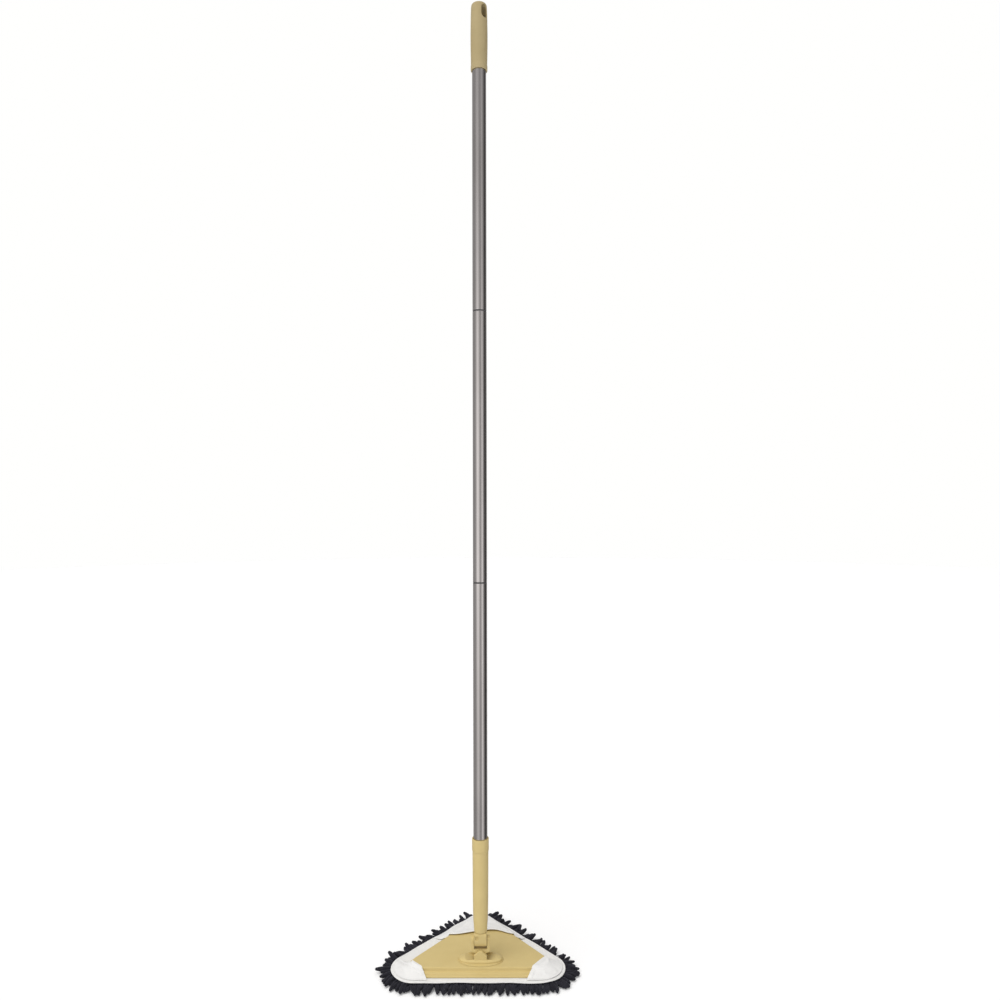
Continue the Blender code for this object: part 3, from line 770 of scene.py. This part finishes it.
def stitched(name, paths, look):
    """Capsules of six sides by four rings, each along its own piece of the path."""
    a = np.linspace(0, 2 * pi, 6, endpoint=False)
    along = np.array([-0.5, -0.38, 0.38, 0.5]) * STITCH_LENGTH
    girth = np.array([0.35, 1.0, 1.0, 0.35]) * THREAD_R
    spots, ways = [], []
    for path in paths:
        total = np.linalg.norm(np.diff(path, axis=0), axis=1).sum()
        points = spread(path, int(total / STITCH_PITCH) * 2 + 1)
        spots.append(points[1::2])
        ways.append(points[2::2] - points[:-2:2])
    spots, ways = np.concatenate(spots), np.concatenate(ways)
    ways /= np.linalg.norm(ways, axis=1, keepdims=True)
    side = np.cross(ways, (0, 0, 1.0))
    side /= np.linalg.norm(side, axis=1, keepdims=True)
    up = np.cross(side, ways)
    ring = side[:, None] * np.cos(a)[:, None] + up[:, None] * np.sin(a)[:, None]
    tubes = spots[:, None, None] + ways[:, None, None] * along[:, None, None]
    tubes = tubes + ring[:, None] * girth[:, None, None]
    count = len(spots)
    faces = grid_faces(4, 6)
    caps = np.array([[0, 1, 2, 3, 4, 5], [23, 22, 21, 20, 19, 18]])
    offset = (np.arange(count) * 24)[:, None, None]
    mesh = bpy.data.meshes.new(name)
    mesh.from_pydata(
        tubes.reshape(-1, 3).tolist(), [],
        (faces + offset).reshape(-1, 4).tolist() + (caps + offset).reshape(-1, 6).tolist(),
    )
    print(name, "stitches:", count)
    return finish_piece(mesh, name, "head", look, crease=None)


thread_line = lifted(pad_ring(-0.0027), 0.01205)
thread_line[:, 2] += ripple(thread_line, 0.045, 0.0006, 3) * 0.66
thread_loop = np.vstack([thread_line, thread_line[:1]])
backing_thread = stitched("backing_thread", [thread_loop], backing_cloth)


def line_at(upper, distance, wanted):
    """On each row of a pocket, the surface point whose distance is nearest the wanted one."""
    column = np.abs(distance - wanted).argmin(1)
    row = np.arange(len(column))
    keep = np.abs(distance[row, column] - wanted) < 0.0012
    return upper[row, column][keep]


pocket_lines = []
for _, _, _, upper, to_mouth, to_seam in pockets.values():
    pocket_lines += [line_at(upper, to_mouth, HEM_STITCH), line_at(upper, to_seam, SEAM_STITCH)]
pocket_thread = stitched("pocket_thread", pocket_lines, pocket_cloth)

# %% [markdown]
# ## The chenille pad
# Under the cloth is a dark felt core, and into it are sewn hundreds of chenille noodles: soft fuzzy
# fingers about 6 mm thick. They cover the underside, and round the rim they hang out and droop to the
# floor. A noodle is a curved tube with closed round ends and uneven girth, and all of them are made as one
# array. The path of each is a starting point plus a reach outwards and a fall that grows along it.

# %% Felt core
core_section = rounded([
    (0.0200, 0.0052, 0), (0.0050, 0.0046, 0.002), (0.0016, 0.0056, 0.0014), (0.0010, 0.0078, 0.0014),
    (0.0022, 0.0097, 0.0012), (0.0060, 0.0098, 0.002), (0.0200, 0.0098, 0),
], 5)
core_rim = np.stack([lifted(pad_ring(-d), z) for d, z in core_section])
core_grid = np.concatenate([filled(core_rim[0])[::-1], core_rim, filled(core_rim[-1])])
core = surface("chenille_core", core_grid, "head", chenille, crease=None)
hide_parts("chenille_pad")

# %% Noodle arrays
NOODLE_RINGS, NOODLE_SIDES = 7, 8
FLOOR = 0.0003


def noodles(name, starts, ways, reach, drop, girth, bend):
    """Tubes along start + way * reach * t, falling by drop * t^1.6 and bending sideways by bend * t^2."""
    t = np.linspace(0, 1, NOODLE_RINGS)[None, :, None]
    flat_way = np.column_stack([ways, np.zeros(len(ways))])[:, None]
    side_way = np.column_stack([-ways[:, 1], ways[:, 0], np.zeros(len(ways))])[:, None]
    down = np.array([0, 0, -1.0])
    path = starts[:, None] + flat_way * reach[:, None, None] * t
    path = path + side_way * bend[:, None, None] * t ** 2 + down * drop[:, None, None] * t ** 1.6
    tangent = np.gradient(path, axis=1)
    tangent /= np.linalg.norm(tangent, axis=-1, keepdims=True)
    side = np.cross(tangent, (0, 0, 1.0))
    side /= np.maximum(np.linalg.norm(side, axis=-1, keepdims=True), 1e-9)
    up = np.cross(side, tangent)
    shape = np.array([0.62, 0.92, 1.0, 1.04, 1.0, 0.92, 0.60])
    uneven = 1 + rng.uniform(-0.10, 0.12, (len(starts), NOODLE_RINGS, NOODLE_SIDES))
    r = (girth[:, None] * shape)[..., None] * uneven
    a = np.linspace(0, 2 * pi, NOODLE_SIDES, endpoint=False)
    points = (path[:, :, None] + side[:, :, None] * (r * np.cos(a))[..., None]
              + up[:, :, None] * (r * np.sin(a))[..., None])
    tips = np.stack([path[:, 0] - tangent[:, 0] * girth[:, None] * 0.35,
                     path[:, -1] + tangent[:, -1] * girth[:, None] * 0.42], 1)
    block = np.concatenate([points.reshape(len(starts), -1, 3), tips], 1)
    block[..., 2] = np.maximum(block[..., 2], FLOOR)
    ring = np.arange(NOODLE_SIDES)
    last = (NOODLE_RINGS - 1) * NOODLE_SIDES
    size = NOODLE_RINGS * NOODLE_SIDES + 2
    quads = grid_faces(NOODLE_RINGS, NOODLE_SIDES)
    fans = np.concatenate([
        np.stack([ring, (ring + 1) % NOODLE_SIDES, np.full(NOODLE_SIDES, size - 2)], 1),
        np.stack([last + (ring + 1) % NOODLE_SIDES, last + ring, np.full(NOODLE_SIDES, size - 1)], 1),
    ])
    offset = (np.arange(len(starts)) * size)[:, None, None]
    mesh = bpy.data.meshes.new(name)
    mesh.from_pydata(
        block.reshape(-1, 3).tolist(), [],
        (quads + offset).reshape(-1, 4).tolist() + (fans + offset).reshape(-1, 3).tolist(),
    )
    print(name, "noodles:", len(starts))
    piece = finish_piece(mesh, name, "head", chenille, crease=None)
    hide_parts("chenille_pad")


def round_the_rim(inset, pitch, jitter):
    """Places along the pad's outline, with the outward direction at each."""
    ring = pad_ring(-inset)
    loop = np.vstack([ring, ring[:1]])
    count = int(np.linalg.norm(np.diff(loop, axis=0), axis=1).sum() / pitch)
    points = spread(loop, count + 1)[:-1]
    way = np.roll(points, -1, axis=0) - np.roll(points, 1, axis=0)
    way /= np.linalg.norm(way, axis=1, keepdims=True)
    out = np.column_stack([way[:, 1], -way[:, 0]])
    return points + way * rng.uniform(-jitter, jitter, (count, 1)), out


def swung(ways, degrees):
    """Directions turned by random angles."""
    a = np.radians(rng.uniform(-degrees, degrees, len(ways)))
    return np.column_stack([ways[:, 0] * np.cos(a) - ways[:, 1] * np.sin(a),
                            ways[:, 0] * np.sin(a) + ways[:, 1] * np.cos(a)])


# %% Fringe
SIDE_REACH = 0.0045


def fringe_layer(inset, pitch, height, reach_front, reach_back, droop, girth, swing):
    """One row of noodles. At the front they fall to the floor, at the back only by droop metres."""
    spots, out = round_the_rim(inset, pitch, pitch * 0.3)
    count = len(spots)
    back = np.clip((out[:, 1] + 0.35) / 0.8, 0, 1)
    low, high = [a + (b - a) * back for a, b in zip(reach_front, reach_back)]
    reach = low + (high - low) * rng.random(count) + inset + SIDE_REACH * np.abs(out[:, 0]) ** 6
    radius = rng.uniform(*girth, count)
    z = height + rng.uniform(-0.0006, 0.0006, count)
    starts = np.column_stack([spots[:, 0], spots[:, 1] + POLE_Y, z])
    to_floor = np.maximum(z - radius * rng.uniform(0.85, 1.2, count), 0)
    fall = to_floor * (1 - back) + back * rng.uniform(*droop, count)
    return starts, swung(out, swing), reach, fall, radius, rng.normal(0, 0.0022, count)


layers = [
    fringe_layer(
        inset=0.0040, pitch=0.0082, height=0.0066, reach_front=(0.0115, 0.0175),
        reach_back=(0.0145, 0.0235), droop=(-0.0055, 0.0005), girth=(0.0028, 0.0036), swing=28,
    ),
    fringe_layer(
        inset=0.0050, pitch=0.0074, height=0.0060, reach_front=(0.0100, 0.0160),
        reach_back=(0.0120, 0.0205), droop=(-0.0010, 0.0030), girth=(0.0028, 0.0036), swing=30,
    ),
    fringe_layer(
        inset=0.0090, pitch=0.0076, height=0.0036, reach_front=(0.0060, 0.0120),
        reach_back=(0.0060, 0.0140), droop=(0.0000, 0.0006), girth=(0.0028, 0.0034), swing=34,
    ),
]
noodles("fringe_noodles", *[np.concatenate(parts) for parts in zip(*layers)])

# %% Underside noodles
SOLE_PITCH = 0.0088
across = np.arange(-0.14, 0.1401, SOLE_PITCH)
rows, cols = np.meshgrid(np.arange(-0.045, 0.155, SOLE_PITCH), across, indexing="ij")
cols = cols + (np.arange(rows.shape[0])[:, None] % 2) * SOLE_PITCH / 2
field = np.column_stack([cols.ravel(), rows.ravel()]) + rng.uniform(-0.001, 0.001, (cols.size, 2))
field = field[gap_to(field, pad_ring(-0.008)) > 0]
spin = rng.uniform(0, 2 * pi, len(field))
count = len(field)
noodles(
    "sole_noodles",
    np.column_stack([field[:, 0], field[:, 1] + POLE_Y, rng.uniform(0.0042, 0.0050, count)]),
    np.column_stack([np.cos(spin), np.sin(spin)]),
    rng.uniform(0.008, 0.013, count), rng.uniform(0.0006, 0.0018, count),
    rng.uniform(0.0029, 0.0035, count), rng.normal(0, 0.002, count),
)

# %% [markdown]
# ## The parts that stay
# Screws, pins, clips, the joints' plastic inserts and the sole plate already have the right shape, so
# they only get their finishes.

# %% Finishes for kept parts
KEPT = {
    "pin_steel": (pin_steel, ("pitch_pin", "pitch_pin_clip", "roll_pin", "roll_pin_clip")),
    "screw_steel": (screw_steel, [n for n in NODES if "screw" in n]),
    "insert_plastic": (
        insert_grey, ("grip_plug", "upper_stud", "middle_socket", "lower_stud", "lower_socket"),
    ),
    "khaki_plastic": (khaki, ("sole_plate",)),
}
for slot, (look, names) in KEPT.items():
    for name in names:
        NODES[name].data.materials.clear()
        NODES[name].data.materials.append(look)
print("kept parts:", sum(len(names) for _, names in KEPT.values()))

float(outline_area(pad_flat))
for side_name, (piece, area, size, *_) in pockets.items():
    float(min(area, size[0] * size[1]))
    [pocket_thread] if side_name == "rear" else []

# %% [markdown]
# ## Floor, light and camera
# The mop stands on a plain pale floor in a bright room. Polished tube shows the room as upright stripes,
# so the light around it varies with direction: a broad bright panel ahead and to the left, a narrow one
# to the right, and a dark screen at the far right. Rays from the camera see plain white instead.

# %% Floor
FLOOR_R = 9.0
ring = np.linspace(0, 2 * pi, 96, endpoint=False)
radii = np.array([0.0, 0.5, 1.5, 4.0, FLOOR_R])[:, None]
floor_grid = np.stack([radii * np.cos(ring), radii * np.sin(ring), np.full((5, 96), -0.0002)], -1)
floor_mesh = bpy.data.meshes.new("floor")
floor_mesh.from_pydata(floor_grid.reshape(-1, 3).tolist(), [], grid_faces(5, 96).tolist())
work = bmesh.new()
work.from_mesh(floor_mesh)
bmesh.ops.remove_doubles(work, verts=work.verts, dist=1e-6)
work.to_mesh(floor_mesh)
work.free()
floor_mesh.materials.append(material(
    "pale_floor",
    lambda look: look.mix(look.noise(0.4, 2.0), (0.93, 0.94, 0.945, 1), (0.94, 0.95, 0.955, 1)),
    lambda look: look.noise(0.05, 2.0) * 0.1 + 0.8,
    Emission_Color=(1, 1, 1, 1), Emission_Strength=0.13,
))
floor = bpy.data.objects.new("floor", floor_mesh)
bpy.context.scene.collection.objects.link(floor)
floor.visible_glossy = False

# %% Surroundings
world = bpy.data.worlds.new("studio")
bpy.context.scene.world = world
world.use_nodes = True
room = Look(world.node_tree)
direction = room.node("ShaderNodeTexCoord", out="Generated")
split = room.node("ShaderNodeSeparateXYZ", {}, {0: direction})
dx, dy, dz = (Signal(room, split.socket.node.outputs[k]) for k in range(3))
bearing = room.node("ShaderNodeMath", {"operation": "ARCTAN2"}, {0: dx, 1: -1 * dy})
height = room.node("ShaderNodeMath", {"operation": "ARCSINE"}, {0: dz})


def panel(azimuth, elevation, wide, tall, bright):
    """Soft-edged patch of light: a bell curve in bearing times one in height (degrees)."""
    a = (bearing - radians(azimuth)) / radians(wide)
    h = (height - radians(elevation)) / radians(tall)
    return room.node("ShaderNodeMath", {"operation": "EXPONENT"}, {0: -1 * (a * a + h * h)}) * bright


glow = (
    panel(-32, 0, 30, 24, 0.90) + panel(41, -8, 17, 30, 0.78) + panel(-115, 0, 40, 60, 0.10)
    + panel(180, 0, 40, 60, 0.10) + panel(-180, 0, 40, 60, 0.10) + dz.between(0.45, 0.95) * 0.55 + 0.24
)
screen = 1 - panel(100, 0, 22, 70, 0.95)
lit = glow * screen
sky = room.node("ShaderNodeCombineColor", {}, {0: lit, 1: lit * 0.975, 2: lit * 0.965})
seen = room.node("ShaderNodeLightPath", out="Is Camera Ray")
paint = room.mix(seen, sky, (1.0, 1.0, 0.99, 1))
backdrop = room.node("ShaderNodeBackground", {}, {"Color": paint, "Strength": 1.0})
room.node("ShaderNodeOutputWorld", {}, {"Surface": backdrop})


# %% Lamps and camera
def sun(name, azimuth, elevation, strength, spread_angle, colour=(1, 1, 1)):
    """Sun that shines from a bearing (0 is the camera's side, positive to the right) and a height."""
    lamp = bpy.data.lights.new(name, "SUN")
    lamp.energy, lamp.angle, lamp.color = strength, radians(spread_angle), colour
    holder = bpy.data.objects.new(name, lamp)
    bpy.context.scene.collection.objects.link(holder)
    a, e = radians(azimuth), radians(elevation)
    source = Vector((sin(a) * cos(e), -cos(a) * cos(e), sin(e)))
    holder.rotation_euler = (-source).to_track_quat("-Z", "Y").to_euler()
    holder.visible_glossy = False


sun("key", -42, 58, 1.50, 45, (1.0, 0.995, 0.985))
sun("fill", 60, 50, 0.20, 90)

camera_data = bpy.data.cameras.new("camera")
camera_data.lens, camera_data.sensor_width = 28.62, 36
camera = bpy.data.objects.new("camera", camera_data)
bpy.context.scene.collection.objects.link(camera)
camera.location = (0.0317, POLE_Y - 1.25, 0.744)
camera.rotation_euler = (radians(90), radians(0.1), 0)
bpy.context.scene.camera = camera
bpy.context.scene.view_settings.view_transform = "Standard"
print("camera at", tuple(round(v, 3) for v in camera.location))

# %% [markdown]
# ## Bringing the scene up to date
# The looks stand proud of the engineering model by no more than a little pile. Last, the view layer is
# brought up to date.

# %% Update the scene
bpy.context.view_layer.update()
